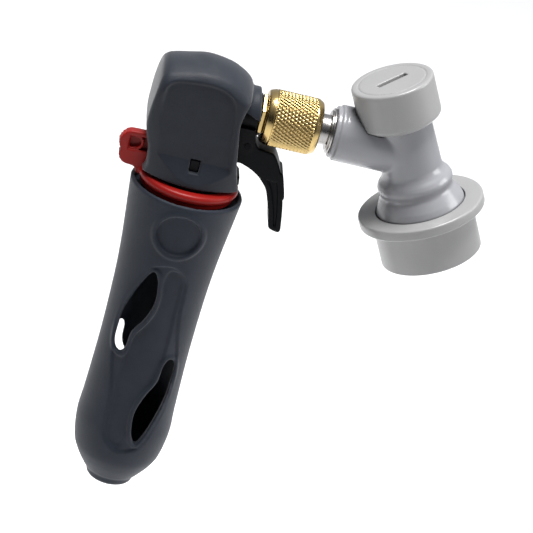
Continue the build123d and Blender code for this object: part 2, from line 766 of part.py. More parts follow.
CAP_ROOM = [
    (TUBE_RADIUS, CAP_FOOT - RUN),
    (CAP_FOOT_RADIUS + RUN, CAP_FOOT - RUN),
    (CAP_RADIUS + RUN, CAP_RIM - RUN),
    (CAP_RADIUS + RUN, 2 * CAP_TOP),
    (TUBE_RADIUS, 2 * CAP_TOP),
]

with BuildPart() as disconnect_body:
    revolve(outline(BODY_SECTION, POST_SECTION), axis=POST_AXIS)
    revolve(outline(along_outlet(rod(ARM_STEP, POST_X, ARM_RADIUS))), axis=OUTLET_AXIS)
    revolve(outline(along_outlet(rod(ARM_START, ARM_STEP + 1.0, ARM_END_RADIUS))), axis=OUTLET_AXIS)
    # room for the cap where the arm meets the tube
    revolve(outline(CAP_ROOM, POST_SECTION), axis=POST_AXIS, mode=Mode.SUBTRACT)
    # spring chamber, poppet hole and clip groove
    for inner, outer, low, high in (
        (0, CHAMBER_RADIUS, CHAMBER_FLOOR, TUBE_TOP),
        (0, POPPET_HOLE, SEAT_FACE, CHAMBER_FLOOR),
        (CLIP_INNER, SLEEVE_RADIUS + 1.0, CLIP_LOW, CLIP_HIGH),
    ):
        revolve(outline(band(inner, outer, low, high), POST_SECTION), axis=POST_AXIS, mode=Mode.SUBTRACT)
    # seat for the fitting and the gas way in the arm
    for start, end, radius in (
        (ARM_START, INSERT_END + RUN, INSERT_RADIUS + FIT),
        (INSERT_END + RUN, POST_X, ARM_GAS_WAY),
    ):
        revolve(outline(along_outlet(rod(start, end, radius))), axis=OUTLET_AXIS, mode=Mode.SUBTRACT)
    # radial pockets for the locking balls
    with Locations(POST_PLANE.offset(BALL_H)):
        with PolarLocations(0, BALL_COUNT, start_angle=BALL_START_ANGLE):
            Cylinder(
                BALL_RADIUS + FIT,
                SLEEVE_RADIUS + 1.0,
                rotation=(0, 90, 0),
                align=(Align.CENTER, Align.CENTER, Align.MIN),
                mode=Mode.SUBTRACT,
            )
save(disconnect_body, "disconnect_body")

for ball_number in range(BALL_COUNT):
    ball_angle = BALL_START_ANGLE + ball_number * 360 / BALL_COUNT
    with BuildPart() as locking_ball:
        with Locations(POST_PLANE.offset(BALL_H)):
            with PolarLocations(BALL_CENTRE, 1, start_angle=ball_angle):
                Sphere(BALL_RADIUS)
    save(locking_ball, f"locking_ball_{ball_number + 1}")

SKIRT_INNER = 13.1
FLANGE_HOLE = 12.95
BALL_RAMP_TOP = -22.8
BALL_STOP_RADIUS = 12.15

COLLAR_SECTION = [
    (SKIRT_INNER, SKIRT_END),
    (SKIRT_RADIUS, SKIRT_END),
    (SKIRT_RADIUS, FLANGE_TOP - FLANGE_THICKNESS),
    (FLANGE_RADIUS, FLANGE_TOP - FLANGE_THICKNESS),
    (FLANGE_RADIUS, FLANGE_TOP),
    (FLANGE_HOLE, FLANGE_TOP),
    (FLANGE_HOLE, BALL_RAMP_TOP),
    (BALL_STOP_RADIUS, BALL_RAMP_TOP),
    (BALL_STOP_RADIUS, -24.6),
    (SKIRT_INNER, -28.4),
]

with BuildPart() as locking_collar:
    revolve(outline(COLLAR_SECTION, POST_SECTION), axis=POST_AXIS)
save(locking_collar, "locking_collar")

COLLAR_SPRING_WIRE = 0.33
COLLAR_SPRING_PITCH = 2.25
COLLAR_SPRING_TURNS = 2
COLLAR_SPRING_RADIUS = 12.48
COLLAR_SPRING_BASE = -22.4

with BuildPart() as collar_spring:
    with BuildLine() as collar_coil:
        Helix(
            pitch=COLLAR_SPRING_PITCH,
            height=COLLAR_SPRING_TURNS * COLLAR_SPRING_PITCH,
            radius=COLLAR_SPRING_RADIUS,
            center=POST_ORIGIN + POST_UP * COLLAR_SPRING_BASE,
            direction=POST_UP,
        )
    with BuildSketch(Plane(origin=collar_coil.line @ 0, z_dir=collar_coil.line % 0)):
        Circle(COLLAR_SPRING_WIRE)
    sweep()
save(collar_spring, "collar_spring")

with BuildPart() as collar_clip:
    clip_section = band(CLIP_INNER + FIT, 12.85, CLIP_LOW + FIT, CLIP_HIGH - FIT)
    revolve(outline(clip_section, POST_SECTION), axis=POST_AXIS)
    # gap in the split ring
    with BuildSketch(POST_PLANE.offset(CLIP_LOW)):
        with Locations((SLEEVE_RADIUS, 0)):
            Rectangle(4.0, 3.0)
    extrude(amount=CLIP_HIGH - CLIP_LOW, mode=Mode.SUBTRACT)
save(collar_clip, "collar_clip")

POPPET_DISC = -7.2

with BuildPart() as poppet:
    poppet_section = [
        (0, -15.8),
        (2.4, -15.8),
        (2.6, -15.4),
        (2.6, POPPET_DISC),
        (5.7, POPPET_DISC),
        (5.7, -5.2),
        (2.4, -5.2),
        (2.4, 3.0),
        (0, 3.0),
    ]
    revolve(outline(poppet_section, POST_SECTION), axis=POST_AXIS)
save(poppet, "poppet")

with BuildPart() as poppet_seal:
    revolve(outline(band(3.2, 5.4, CHAMBER_FLOOR + FIT, POPPET_DISC - 0.02), POST_SECTION), axis=POST_AXIS)
save(poppet_seal, "poppet_seal")

POPPET_SPRING_WIRE = 0.35
POPPET_SPRING_PITCH = 2.4
POPPET_SPRING_TURNS = 7
POPPET_SPRING_RADIUS = 4.6
POPPET_SPRING_BASE = -4.8

with BuildPart() as poppet_spring:
    with BuildLine() as poppet_coil:
        Helix(
            pitch=POPPET_SPRING_PITCH,
            height=POPPET_SPRING_TURNS * POPPET_SPRING_PITCH,
            radius=POPPET_SPRING_RADIUS,
            center=POST_ORIGIN + POST_UP * POPPET_SPRING_BASE,
            direction=POST_UP,
        )
    with BuildSketch(Plane(origin=poppet_coil.line @ 0, z_dir=poppet_coil.line % 0)):
        Circle(POPPET_SPRING_WIRE)
    sweep()
save(poppet_spring, "poppet_spring")

CAP_PLUG_RADIUS = 6.1
CAP_GROOVE_LOW = 14.4
CAP_GROOVE_HIGH = 15.8

CAP_SECTION = [
    (TUBE_RADIUS + RUN, CAP_FOOT),
    (CAP_FOOT_RADIUS, CAP_FOOT),
    (CAP_RADIUS, CAP_RIM),
    (CAP_RADIUS, CAP_TOP - 0.9),
    (CAP_RADIUS - 0.9, CAP_TOP),
    (0, CAP_TOP),
    (0, 12.5),
    (CAP_PLUG_RADIUS, 12.5),
    (CAP_PLUG_RADIUS, CAP_GROOVE_LOW),
    (5.1, CAP_GROOVE_LOW),
    (5.1, CAP_GROOVE_HIGH),
    (CAP_PLUG_RADIUS, CAP_GROOVE_HIGH),
    (CAP_PLUG_RADIUS, TUBE_TOP + RUN),
    (TUBE_RADIUS + RUN, TUBE_TOP + RUN),
]
SLOT_ANGLE = 30.0
CAP_ORING_WIRE = 0.52

with BuildPart() as disconnect_cap:
    revolve(outline(CAP_SECTION, POST_SECTION), axis=POST_AXIS)
    with BuildSketch(POST_PLANE.offset(CAP_TOP)):
        Rectangle(*CAP_SLOT, rotation=SLOT_ANGLE)
    extrude(amount=-CAP_SLOT_DEPTH, mode=Mode.SUBTRACT)
save(disconnect_cap, "disconnect_cap")

with BuildPart() as cap_oring:
    with BuildSketch(POST_SECTION):
        with Locations((5.64, (CAP_GROOVE_LOW + CAP_GROOVE_HIGH) / 2)):
            Circle(CAP_ORING_WIRE)
    revolve(axis=POST_AXIS)
save(cap_oring, "cap_oring")
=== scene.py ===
"""Looks of a hand-held keg charger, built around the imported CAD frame.

Shapes are written in millimetres in the part's own frame: +Z up the handle, +X along the outlet.
Moulded pieces are skins of a distance field, which gives them soft edges and fillets.
Turned pieces are lathed. Every piece rides on the CAD body that it belongs to.
"""

import json
from itertools import product
from math import cos, pi, radians, sin, tan

import bpy
import numpy as np
from mathutils import Euler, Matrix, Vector


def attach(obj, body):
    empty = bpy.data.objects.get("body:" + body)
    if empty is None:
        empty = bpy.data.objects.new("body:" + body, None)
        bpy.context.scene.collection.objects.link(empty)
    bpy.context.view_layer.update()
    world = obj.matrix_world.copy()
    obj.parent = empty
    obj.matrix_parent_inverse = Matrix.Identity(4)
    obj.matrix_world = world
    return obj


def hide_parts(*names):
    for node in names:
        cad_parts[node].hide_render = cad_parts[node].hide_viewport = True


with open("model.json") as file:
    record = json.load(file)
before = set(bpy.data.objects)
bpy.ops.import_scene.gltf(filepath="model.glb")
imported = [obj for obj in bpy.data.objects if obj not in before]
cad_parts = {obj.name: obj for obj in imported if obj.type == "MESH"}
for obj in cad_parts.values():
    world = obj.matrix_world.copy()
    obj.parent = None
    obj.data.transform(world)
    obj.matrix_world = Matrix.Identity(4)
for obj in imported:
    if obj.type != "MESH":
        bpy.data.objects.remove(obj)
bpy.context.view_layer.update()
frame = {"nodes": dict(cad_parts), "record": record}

MM = 0.001

# Handle
HANDLE_LENGTH = 96.0
PATTERN_Z = -50.0
EMBLEM_Z = -9.4
EMBLEM_RADIUS = 6.35
EMBLEM_RIM = (7.2, 8.1)
CAVITY_RADIUS = 11.2
NECK_RADIUS = 12.55
MOUTH_RADIUS = 14.95
RELIEF_DEPTH = 0.6
WINDOW_RIM_HEIGHT = 0.45
BADGE_RIM_HEIGHT = 0.4
BADGE_DEPTH = 0.65

# Head
LIP_Z = 3.9
LIP_ARC = 20.0
LIP_HALF = 11.5
COVER_HALF = 10.5
COVER_WALL = 1.7
CROWN = 3.2
PANEL_HALF = 9.5
PANEL_WAIST = 8.8
LATCH = (-0.3, 9.8)
LATCH_SIZE = (1.45, 1.85)

# Hood about the outlet, and the openings under it that the trigger and the hex pass through
HOOD_RADIUS = 7.6
HOOD_START = 4.0
HOOD_END = 13.1
BOSS_RADIUS = 6.4
MOUTH_HALF = 7.6
MOUTH_BACK = 8.4
MOUTH_FOOT = 14.5
MOUTH_TOP = 27.5
SLIT_HALF = 5.2
SLIT_BACK = 8.2
SLIT_TOP = 15.0

# Notch in the cover's far side, where the ring's tab sweeps past
ROOM_RADIUS = 12.5
ROOM_TOP = 13.0
ROOM_WALL = 1.5
ROOM_BACK = -1.0
ROOM_SIDE = -2.2

# Safety ring
RING_INNER = 12.7
RING_BULGE = 14.3
RING_BULGE_Z = 1.8
RING_SPAN = (-1.3, 3.0)
RING_FLANGE = (11.1, 13.2)
RING_FLANGE_SPAN = (2.2, 2.9)
TAB_HALF = 1.6
GRIP_DEPTH = 0.09
GRIP_PITCH = 0.9
LOOP_HALF = 1.3
LOOP_WALL_HALF = 0.42
WEB_MIDDLE = 0.7
WEB_HALF = 0.4
TOOTH_ANGLE = radians(70.0)

# Trigger
PIVOT = (12.6, 18.0)
PIVOT_HOLE = 0.95
TRIGGER_HALF = 4.2
WAIST_TOP = 8.5

# Outlet, on an axis along +X
OUTLET_Z = 25.6
HEX_START = 14.2
HEX_END = 15.4
HEX_FLATS = 11.0
HEX_BEVEL = 6.1
ADAPTER_START = 5.2
ADAPTER_SHOULDER = 15.0
ADAPTER_END = 20.2
ADAPTER_BORE = 2.5
NUT_START = 15.6
NUT_END = 31.2
NUT_RADIUS = 8.0
NUT_BORE = 4.6
NUT_THREAD = 5.6
NUT_SHOULDER = 20.1
SHANK_RADIUS = 4.3
FLANGE_START = 33.9
FITTING_START = 24.2
FITTING_END = 39.4
FITTING_BORE = 1.6
ARM_START = 35.2
ARM_STEP = 36.5
ARM_END_RADIUS = 7.3
ARM_RADIUS = 7.95
ARM_GROOVE = 1.4
SOCKET_RADIUS = 4.95
SOCKET_DEPTH = 4.3
GAS_WAY = 2.2

# Disconnect, on an axis that leans back over the nut
POST_X = 57.0
POST_LEAN = radians(27.7)
TUBE_RADIUS = 8.35
BODY_SPAN = (-31.9, 18.3)
CAP_FOOT = 7.9
CAP_TOP = 21.2
CAP_RADIUS = 11.65
CAP_CONE = 9.0
CAP_FLARE = 1.325
CAP_GAP = 0.1
CAP_GROOVE = 9.6
CAP_BORE = 8.45
CAP_BORE_TOP = 18.4
FLANGE_RADIUS = 18.0
FLANGE_TOP = -17.0
SKIRT_RADIUS = 14.4
SKIRT_END = -32.7
SLOT_ANGLE = radians(30.0)
SLOT_REACH = 4.8
SLOT_HALF = 1.0
SLOT_DEPTH = 1.6

# Camera, light and floor

CAMERA_PLACE = (-0.0769, -0.7322, 0.3146)
CAMERA_TURN = (64.84, -14.67, -1.37)
CAMERA_LENS = 193.0
FLOOR_Z = -0.20
BRIGHT_SIDE = (0.4, 0.6, 0.7)
SURROUND_DIM = 0.02
SURROUND_BRIGHT = 0.65
SURROUND_COLOUR = (0.94, 0.96, 1.0, 1)
LAMP_TARGET = (0.02, 0, -0.02)
KEY_PLACE = (0.85, 0.0, 0.5)
KEY_SIZE = 0.5
KEY_WATTS = 5.5
TOP_PLACE = (-0.05, -0.05, 0.95)
TOP_SIZE = 0.45
TOP_WATTS = 18.0
FLOOR_REACH = 3.0
FLOOR_COLOUR = (0.93, 0.93, 0.93)


def aim(thing, target):
    """Turn a light so that it shines at a point."""
    way = Vector(target) - thing.location
    thing.rotation_euler = way.to_track_quat("-Z", "Y").to_euler()


def soft_light(name, place, size, watts):
    """A square studio lamp that faces the object."""
    lamp = bpy.data.lights.new(name, "AREA")
    lamp.shape = "SQUARE"
    lamp.size = size
    lamp.energy = watts
    thing = bpy.data.objects.new(name, lamp)
    bpy.context.scene.collection.objects.link(thing)
    thing.location = place
    aim(thing, LAMP_TARGET)


def studio():
    """The camera, two soft lamps, a graded surround and a pale floor."""
    camera = bpy.data.objects.new("camera", bpy.data.cameras.new("camera"))
    camera.data.lens = CAMERA_LENS
    camera.data.clip_end = 20
    camera.location = CAMERA_PLACE
    camera.rotation_euler = Euler([radians(a) for a in CAMERA_TURN])
    bpy.context.scene.collection.objects.link(camera)
    bpy.context.scene.camera = camera

    soft_light("key", KEY_PLACE, KEY_SIZE, KEY_WATTS)
    soft_light("top", TOP_PLACE, TOP_SIZE, TOP_WATTS)

    # surround that is bright above and to the right, and dim on the camera's side
    world = bpy.data.worlds.new("surround")
    world.use_nodes = True
    tree = world.node_tree
    turned = node(tree, "ShaderNodeVectorMath", operation="DOT_PRODUCT")
    tree.links.new(node(tree, "ShaderNodeTexCoord").outputs["Generated"], turned.inputs[0])
    turned.inputs[1].default_value = Vector(BRIGHT_SIDE).normalized()
    level = map_range(tree, turned.outputs["Value"], (-0.5, 1.0), (SURROUND_DIM, SURROUND_BRIGHT))
    tree.links.new(level, tree.nodes["Background"].inputs["Strength"])
    tree.nodes["Background"].inputs["Color"].default_value = SURROUND_COLOUR
    bpy.context.scene.world = world
    bpy.context.scene.view_settings.view_transform = "Standard"

    mesh = bpy.data.meshes.new("floor")
    corners = [(-1, -1), (1, -1), (1, 1), (-1, 1)]
    mesh.from_pydata([(x * FLOOR_REACH, y * FLOOR_REACH, FLOOR_Z) for x, y in corners], [], [(0, 1, 2, 3)])
    floor = bpy.data.objects.new("floor", mesh)
    bpy.context.scene.collection.objects.link(floor)
    mesh.materials.append(painted("floor_white", FLOOR_COLOUR, 0.8, grain=40, bump=0.02))


# Materials


def node(tree, kind, **values):
    """Add a shader node and set its plain settings."""
    made = tree.nodes.new(kind)
    for name, value in values.items():
        setattr(made, name, value)
    return made


def noise(tree, place, scale, detail=3.0, roughness=0.55):
    """Noise texture read in the part's own frame."""
    made = node(tree, "ShaderNodeTexNoise")
    made.inputs["Scale"].default_value = scale
    made.inputs["Detail"].default_value = detail
    made.inputs["Roughness"].default_value = roughness
    tree.links.new(place, made.inputs["Vector"])
    return made.outputs["Fac"]


def map_range(tree, value, source, target):
    """Carry a value from one range over to another."""
    made = node(tree, "ShaderNodeMapRange")
    for name, number in zip(("From Min", "From Max", "To Min", "To Max"), (*source, *target)):
        made.inputs[name].default_value = number
    tree.links.new(value, made.inputs["Value"])
    return made.outputs["Result"]


# Where the values of a noise texture mostly lie
NOISE_RANGE = (0.3, 0.7)
GRAIN_HEIGHT = 0.0002


def painted(
    name, colour, rough, grain, bump, mottle=0.08, metallic=0.0, stretch=(1, 1, 1), shine=0.5, sheen=0.0
):
    """A material with mottled colour, uneven gloss and a fine grain.

    grain is the noise scale per metre of its finest detail, and stretch scales the noise along each axis.
    """
    made = bpy.data.materials.new(name)
    made.use_nodes = True
    tree = made.node_tree
    shader = tree.nodes["Principled BSDF"]
    shader.inputs["Metallic"].default_value = metallic
    shader.inputs["Specular IOR Level"].default_value = shine
    shader.inputs["Sheen Weight"].default_value = sheen
    place = node(tree, "ShaderNodeTexCoord").outputs["Object"]
    mapping = node(tree, "ShaderNodeMapping")
    mapping.inputs["Scale"].default_value = stretch
    tree.links.new(place, mapping.inputs["Vector"])
    fine = noise(tree, mapping.outputs["Vector"], grain, detail=4.0)
    broad = noise(tree, place, grain / 14, detail=2.0)

    blend = node(tree, "ShaderNodeMix", data_type="RGBA")
    dark = [c * (1 - mottle) for c in colour]
    light = [min(1.0, c * (1 + mottle)) for c in colour]
    blend.inputs[6].default_value = (*dark, 1)
    blend.inputs[7].default_value = (*light, 1)
    tree.links.new(map_range(tree, broad, NOISE_RANGE, (0.0, 1.0)), blend.inputs[0])
    tree.links.new(blend.outputs[2], shader.inputs["Base Color"])
    gloss = map_range(tree, fine, NOISE_RANGE, (rough * 0.88, rough * 1.12))
    tree.links.new(gloss, shader.inputs["Roughness"])

    raised = node(tree, "ShaderNodeBump")
    raised.inputs["Strength"].default_value = bump
    raised.inputs["Distance"].default_value = GRAIN_HEIGHT
    tree.links.new(fine, raised.inputs["Height"])
    tree.links.new(raised.outputs["Normal"], shader.inputs["Normal"])
    return made


# Turned metal has rings about the outlet, so its grain is drawn out across X
TURNED = (1.0, 0.06, 0.06)
MATERIALS = {
    "holder_shell": painted(
        "soft_touch_slate", (0.017, 0.021, 0.030), 0.52, 2600, 0.30, shine=0.12, sheen=0.08
    ),
    "head_shell": painted(
        "moulded_slate", (0.014, 0.017, 0.024), 0.46, 3200, 0.30, shine=0.14, sheen=0.16
    ),
    "valve_polymer": painted("glass_filled_black", (0.003, 0.003, 0.004), 0.5, 2400, 0.3, shine=0.1),
    "red_ring": painted(
        "moulded_red", (0.24, 0.008, 0.006), 0.38, 1800, 0.08, mottle=0.03, shine=0.2
    ),
    "trigger_plastic": painted("trigger_black", (0.0025, 0.003, 0.004), 0.36, 2000, 0.15, shine=0.08),
    "brass": painted(
        "turned_brass", (0.50, 0.365, 0.155), 0.22, 5200, 0.10, metallic=1.0, stretch=TURNED
    ),
    "stainless": painted(
        "polished_steel", (0.34, 0.33, 0.32), 0.27, 5200, 0.06, metallic=1.0, stretch=TURNED
    ),
    "steel": painted("drawn_steel", (0.60, 0.60, 0.61), 0.25, 3000, 0.10, metallic=1.0),
    "blackened_steel": painted("blackened_pin", (0.008, 0.008, 0.009), 0.5, 3000, 0.10, metallic=1.0),
    "grey_body": painted("acetal_grey", (0.24, 0.242, 0.255), 0.24, 1300, 0.03, mottle=0.02),
    "grey_cap": painted("acetal_warm_grey", (0.26, 0.258, 0.258), 0.34, 1700, 0.05, mottle=0.02),
    "poppet_plastic": painted("acetal_natural", (0.70, 0.69, 0.65), 0.35, 900, 0.05),
    "nylon": painted("nylon_natural", (0.78, 0.77, 0.72), 0.4, 900, 0.05),
    "rubber": painted("nitrile_black", (0.012, 0.012, 0.012), 0.6, 1600, 0.2),
}


def finish_cad_nodes():
    """Every CAD piece that stays gets the material of its slot."""
    slots = {row["node"]: row["material_slot"] for row in frame["record"]["subparts"]}
    for name, thing in frame["nodes"].items():
        thing.data.materials.clear()
        thing.data.materials.append(MATERIALS[slots[name]])


def place_piece(name, points, faces, body, slot, replaces):
    """Make a mesh from points in millimetres, let it ride and hide the CAD pieces that it stands for."""
    mesh = bpy.data.meshes.new(name)
    mesh.from_pydata(np.asarray(points) * MM, [], np.asarray(faces))
    mesh.materials.append(MATERIALS[slot])
    mesh.shade_smooth()
    mesh.update()
    thing = bpy.data.objects.new(name, mesh)
    bpy.context.scene.collection.objects.link(thing)
    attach(thing, body)
    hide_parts(*replaces)


# Outlines and distance fields: negative inside, in millimetres


def through(points, steps=6, closed=True):
    """A smooth line through the points, as an array of corners."""
    p = np.asarray(points, float)
    if closed:
        before, after, later = np.roll(p, 1, 0), np.roll(p, -1, 0), np.roll(p, -2, 0)
    else:
        ends = np.vstack([2 * p[0] - p[1], p, 2 * p[-1] - p[-2]])
        before, p, after, later = ends[:-3], ends[1:-2], ends[2:-1], ends[3:]
    t = (np.arange(steps) / steps)[:, None, None]
    line = p + 0.5 * ((after - before) * t + (2 * before - 5 * p + 4 * after - later) * t**2)
    line = line + 0.5 * (3 * p - before - 3 * after + later) * t**3
    line = line.transpose(1, 0, 2).reshape(-1, 2)
    return line if closed else np.vstack([line, after[-1:]])


def to_line(a, b, corners):
    """Signed distance in a plane to a closed line of corners."""
    nearest = np.full(np.broadcast(a, b).shape, np.inf)
    within = np.zeros(nearest.shape, bool)
    for (ax, ay), (bx, by) in zip(corners, np.roll(corners, -1, 0)):
        ex, ey = bx - ax, by - ay
        t = np.clip(((a - ax) * ex + (b - ay) * ey) / (ex * ex + ey * ey), 0, 1)
        nearest = np.minimum(nearest, (a - ax - t * ex) ** 2 + (b - ay - t * ey) ** 2)
        if ey:
            within ^= ((ay > b) != (by > b)) & (a < ex * (b - ay) / ey + ax)
    return np.where(within, -1, 1) * np.sqrt(nearest)


class Chart:
    """Distance to a closed line, worked out once on a fine grid and read between its points."""

    def __init__(self, corners, margin=4.0, step=0.12):
        corners = np.asarray(corners, float)
        self.low = corners.min(0) - margin
        self.step = step
        counts = np.ceil((corners.max(0) + margin - self.low) / step).astype(int)
        a, b = (self.low[i] + np.arange(counts[i]) * step for i in (0, 1))
        self.value = to_line(a[:, None], b[None, :], corners)

    def __call__(self, a, b):
        i = np.clip((a - self.low[0]) / self.step, 0, self.value.shape[0] - 1.001)
        j = np.clip((b - self.low[1]) / self.step, 0, self.value.shape[1] - 1.001)
        m, n = i.astype(int), j.astype(int)
        i, j = i - m, j - n
        near = self.value[m, n] * (1 - i) + self.value[m + 1, n] * i
        far = self.value[m, n + 1] * (1 - i) + self.value[m + 1, n + 1] * i
        return near * (1 - j) + far * j


def both(a, b, radius=0.0):
    """What lies in a and in b, with its edge rounded."""
    over = np.hypot(np.maximum(a + radius, 0), np.maximum(b + radius, 0))
    return np.minimum(np.maximum(a, b), -radius) + over


def either(a, b, radius=0.0):
    """What lies in a or in b, with a fillet between them."""
    return -both(-a, -b, radius)


def less(a, b, radius=0.0):
    """What lies in a but not in b."""
    return both(a, -b, radius)


def slab(value, low, high):
    """Distance to the space between two parallel planes."""
    return np.maximum(low - value, value - high)


def rise(value, low, high):
    """A smooth step from 0 at low to 1 at high."""
    t = np.clip((value - low) / (high - low), 0, 1)
    return t * t * (3 - 2 * t)


# Corners of a tetrahedron at which a field's slope is read, and their distance from a point on each axis
TETRAHEDRON = np.array([(1, 1, 1), (1, -1, -1), (-1, 1, -1), (-1, -1, 1)], float)
PROBE = 0.03


def settle(points, field, reach):
    """Move points onto the field's surface along its slope."""
    values = [field(*(points + PROBE * corner).T) for corner in TETRAHEDRON]
    slope = sum(v[:, None] * corner for v, corner in zip(values, TETRAHEDRON)) / (4 * PROBE)
    value = sum(values) / 4
    move = value / np.maximum((slope**2).sum(1), 0.3)
    return points - slope * np.clip(move, -reach, reach)[:, None]


def even_out(points, faces):
    """Move each point half way to the middle of its neighbours."""
    start = faces.ravel()
    end = np.roll(faces, -1, 1).ravel()
    count = np.bincount(start, minlength=len(points)) + np.bincount(end, minlength=len(points))
    middle = np.empty_like(points)
    for axis in range(3):
        total = np.bincount(start, points[end, axis], len(points))
        total = total + np.bincount(end, points[start, axis], len(points))
        middle[:, axis] = total / np.maximum(count, 1)
    return (points + middle) / 2


def skin(field, low, high, step):
    """Points and four-sided faces of a field's surface, from a grid of cells settled onto it."""
    step = step
    axes = [np.arange(a - 1.5 * step, b + 2.5 * step, step) for a, b in zip(low, high)]
    x, y, z = np.meshgrid(*axes, indexing="ij", sparse=True)
    inside = np.broadcast_to(field(x, y, z) < 0, [len(a) for a in axes])
    size = [len(a) - 1 for a in axes]
    filled = sum(
        inside[i : i + size[0], j : j + size[1], k : k + size[2]].astype(np.int8)
        for i, j, k in product((0, 1), repeat=3)
    )
    mixed = (filled > 0) & (filled < 8)
    number = np.full(mixed.shape, -1)
    number[mixed] = np.arange(mixed.sum())
    points = np.array([a[0] for a in axes]) + (np.argwhere(mixed) + 0.5) * step
    quads = []
    for turn in range(3):
        order = [turn, (turn + 1) % 3, (turn + 2) % 3]
        solid, cell = inside.transpose(order), number.transpose(order)
        here, there = solid[:-1, 1:-1, 1:-1], solid[1:, 1:-1, 1:-1]
        i, j, k = np.nonzero(here != there)
        quad = np.stack([cell[i, j, k], cell[i, j + 1, k], cell[i, j + 1, k + 1], cell[i, j, k + 1]], 1)
        flipped = there[i, j, k]
        quad[flipped] = quad[flipped][:, ::-1]
        quads.append(quad)
    faces = np.concatenate(quads)
    for _ in range(3):
        points = settle(even_out(points, faces), field, step)
    return settle(points, field, step), faces


def leaned(points):
    """Points given as (out, across, up) about the disconnect's axis, in the part's own frame."""
    out, across, up = np.asarray(points).T
    x = POST_X + out * cos(POST_LEAN) - up * sin(POST_LEAN)
    return np.stack([x, across, OUTLET_Z + out * sin(POST_LEAN) + up * cos(POST_LEAN)], 1)


def rounded(corners, segments=5):
    """A closed section of (along, radius, rounding) corners, each of them turned into an arc."""
    line = []
    for index, (along, out, bend) in enumerate(corners):
        here = np.array((along, out))
        back = np.array(corners[index - 1][:2]) - here
        on = np.array(corners[(index + 1) % len(corners)][:2]) - here
        if not bend:
            line.append(here)
            continue
        back, on = back / np.hypot(*back), on / np.hypot(*on)
        opening = np.arccos(np.clip(back @ on, -1, 1))
        reach = bend / tan(opening / 2)
        centre = here + (back + on) / np.hypot(*(back + on)) * bend / sin(opening / 2)
        start, end = here + back * reach - centre, here + on * reach - centre
        swing = np.arctan2(start[0] * end[1] - start[1] * end[0], start @ end)
        for part in np.linspace(0, 1, segments + 1):
            c, s = cos(swing * part), sin(swing * part)
            line.append(centre + np.array((c * start[0] - s * start[1], s * start[0] + c * start[1])))
    return np.array(line)


def lathe(section, segments=144):
    """Turn a closed section of (along, radius) points. Gives (along, out, across) points and faces."""
    rows = len(section)
    angle = np.arange(segments) / segments * 2 * pi
    along = np.repeat(section[:, 0][:, None], segments, 1)
    out = section[:, 1][:, None] * np.cos(angle)
    across = section[:, 1][:, None] * np.sin(angle)
    points = np.stack([along, out, across], 2).reshape(-1, 3)
    return points, ring_faces(rows, segments)


def ring_faces(rows, segments):
    """Faces of a grid of points that closes both ways."""
    i, j = np.meshgrid(np.arange(rows), np.arange(segments), indexing="ij")
    down, right = (i + 1) % rows, (j + 1) % segments
    quad = [i * segments + j, down * segments + j, down * segments + right, i * segments + right]
    return np.stack(quad, 2).reshape(-1, 4)


def on_outlet(points):
    """Lathed points, placed about the outlet's axis."""
    along, out, across = points.T
    return np.stack([along, across, OUTLET_Z + out], 1)


def on_post(points):
    """Lathed points, placed about the disconnect's axis."""
    along, out, across = points.T
    return leaned(np.stack([out, across, along], 1))


# Handle: soft-touch tube with leaf windows and a sunk ribbon between them

HOLDER_SKIN = through(
    [
        (-96.0, 6.4),
        (-94.6, 6.9),
        (-93.4, 7.3),
        (-92.0, 8.5),
        (-88.0, 11.2),
        (-84.0, 12.85),
        (-76.5, 13.85),
        (-68.0, 13.5),
        (-50.0, 13.12),
        (-32.0, 13.4),
        (-20.0, 14.1),
        (-8.0, 15.3),
        (2.0, 16.35),
    ],
    closed=False,
)
HOLDER_HOLLOW = np.array(
    [
        (-89.0, 5.3),
        (-87.7, 5.3),
        (-87.2, 7.6),
        (-84.0, 10.3),
        (-77.0, CAVITY_RADIUS),
        (-11.0, CAVITY_RADIUS),
        (-10.9, NECK_RADIUS),
        (-2.7, NECK_RADIUS),
        (-2.6, MOUTH_RADIUS),
        (2.0, MOUTH_RADIUS),
    ]
)
WINDOW = [
    (-4.2, -22.8),
    (-2.9, -23.3),
    (-1.8, -26.5),
    (-1.3, -32.5),
    (-2.9, -38.2),
    (-5.4, -43.2),
    (-5.9, -48.2),
    (-7.0, -50.4),
    (-8.5, -49.8),
    (-9.3, -47.0),
    (-9.3, -41.9),
    (-9.0, -37.4),
    (-7.7, -31.7),
    (-6.0, -26.4),
]
RECESS_HALF = [
    (0.3, -19.4),
    (3.5, -20.6),
    (5.8, -23.6),
    (6.35, -28.4),
    (6.6, -34.0),
    (7.6, -41.0),
    (9.0, -47.5),
    (10.0, -53.5),
    (10.5, -59.5),
    (9.8, -65.6),
    (8.2, -71.5),
    (6.4, -76.4),
    (4.0, -79.3),
]
RIBBON_HALF = [
    (0.9, -20.8),
    (3.1, -21.2),
    (4.6, -23.6),
    (5.1, -28.3),
    (5.1, -33.8),
    (5.4, -40.4),
    (5.5, -46.0),
    (5.3, -52.0),
    (4.3, -56.6),
    (2.05, -60.8),
    (0.5, -64.8),
    (0.1, -69.6),
    (0.6, -74.0),
    (0.3, -77.5),
]


def half_turned(points):
    """The same outline turned half a turn about the middle of the pattern."""
    return [(-x, 2 * PATTERN_Z - z) for x, z in points]


recess = Chart(through(RECESS_HALF + half_turned(RECESS_HALF)))
ribbon = Chart(through(RIBBON_HALF + half_turned(RIBBON_HALF)))
upper_window = Chart(through(WINDOW))
lower_window = Chart(through(half_turned(WINDOW)))


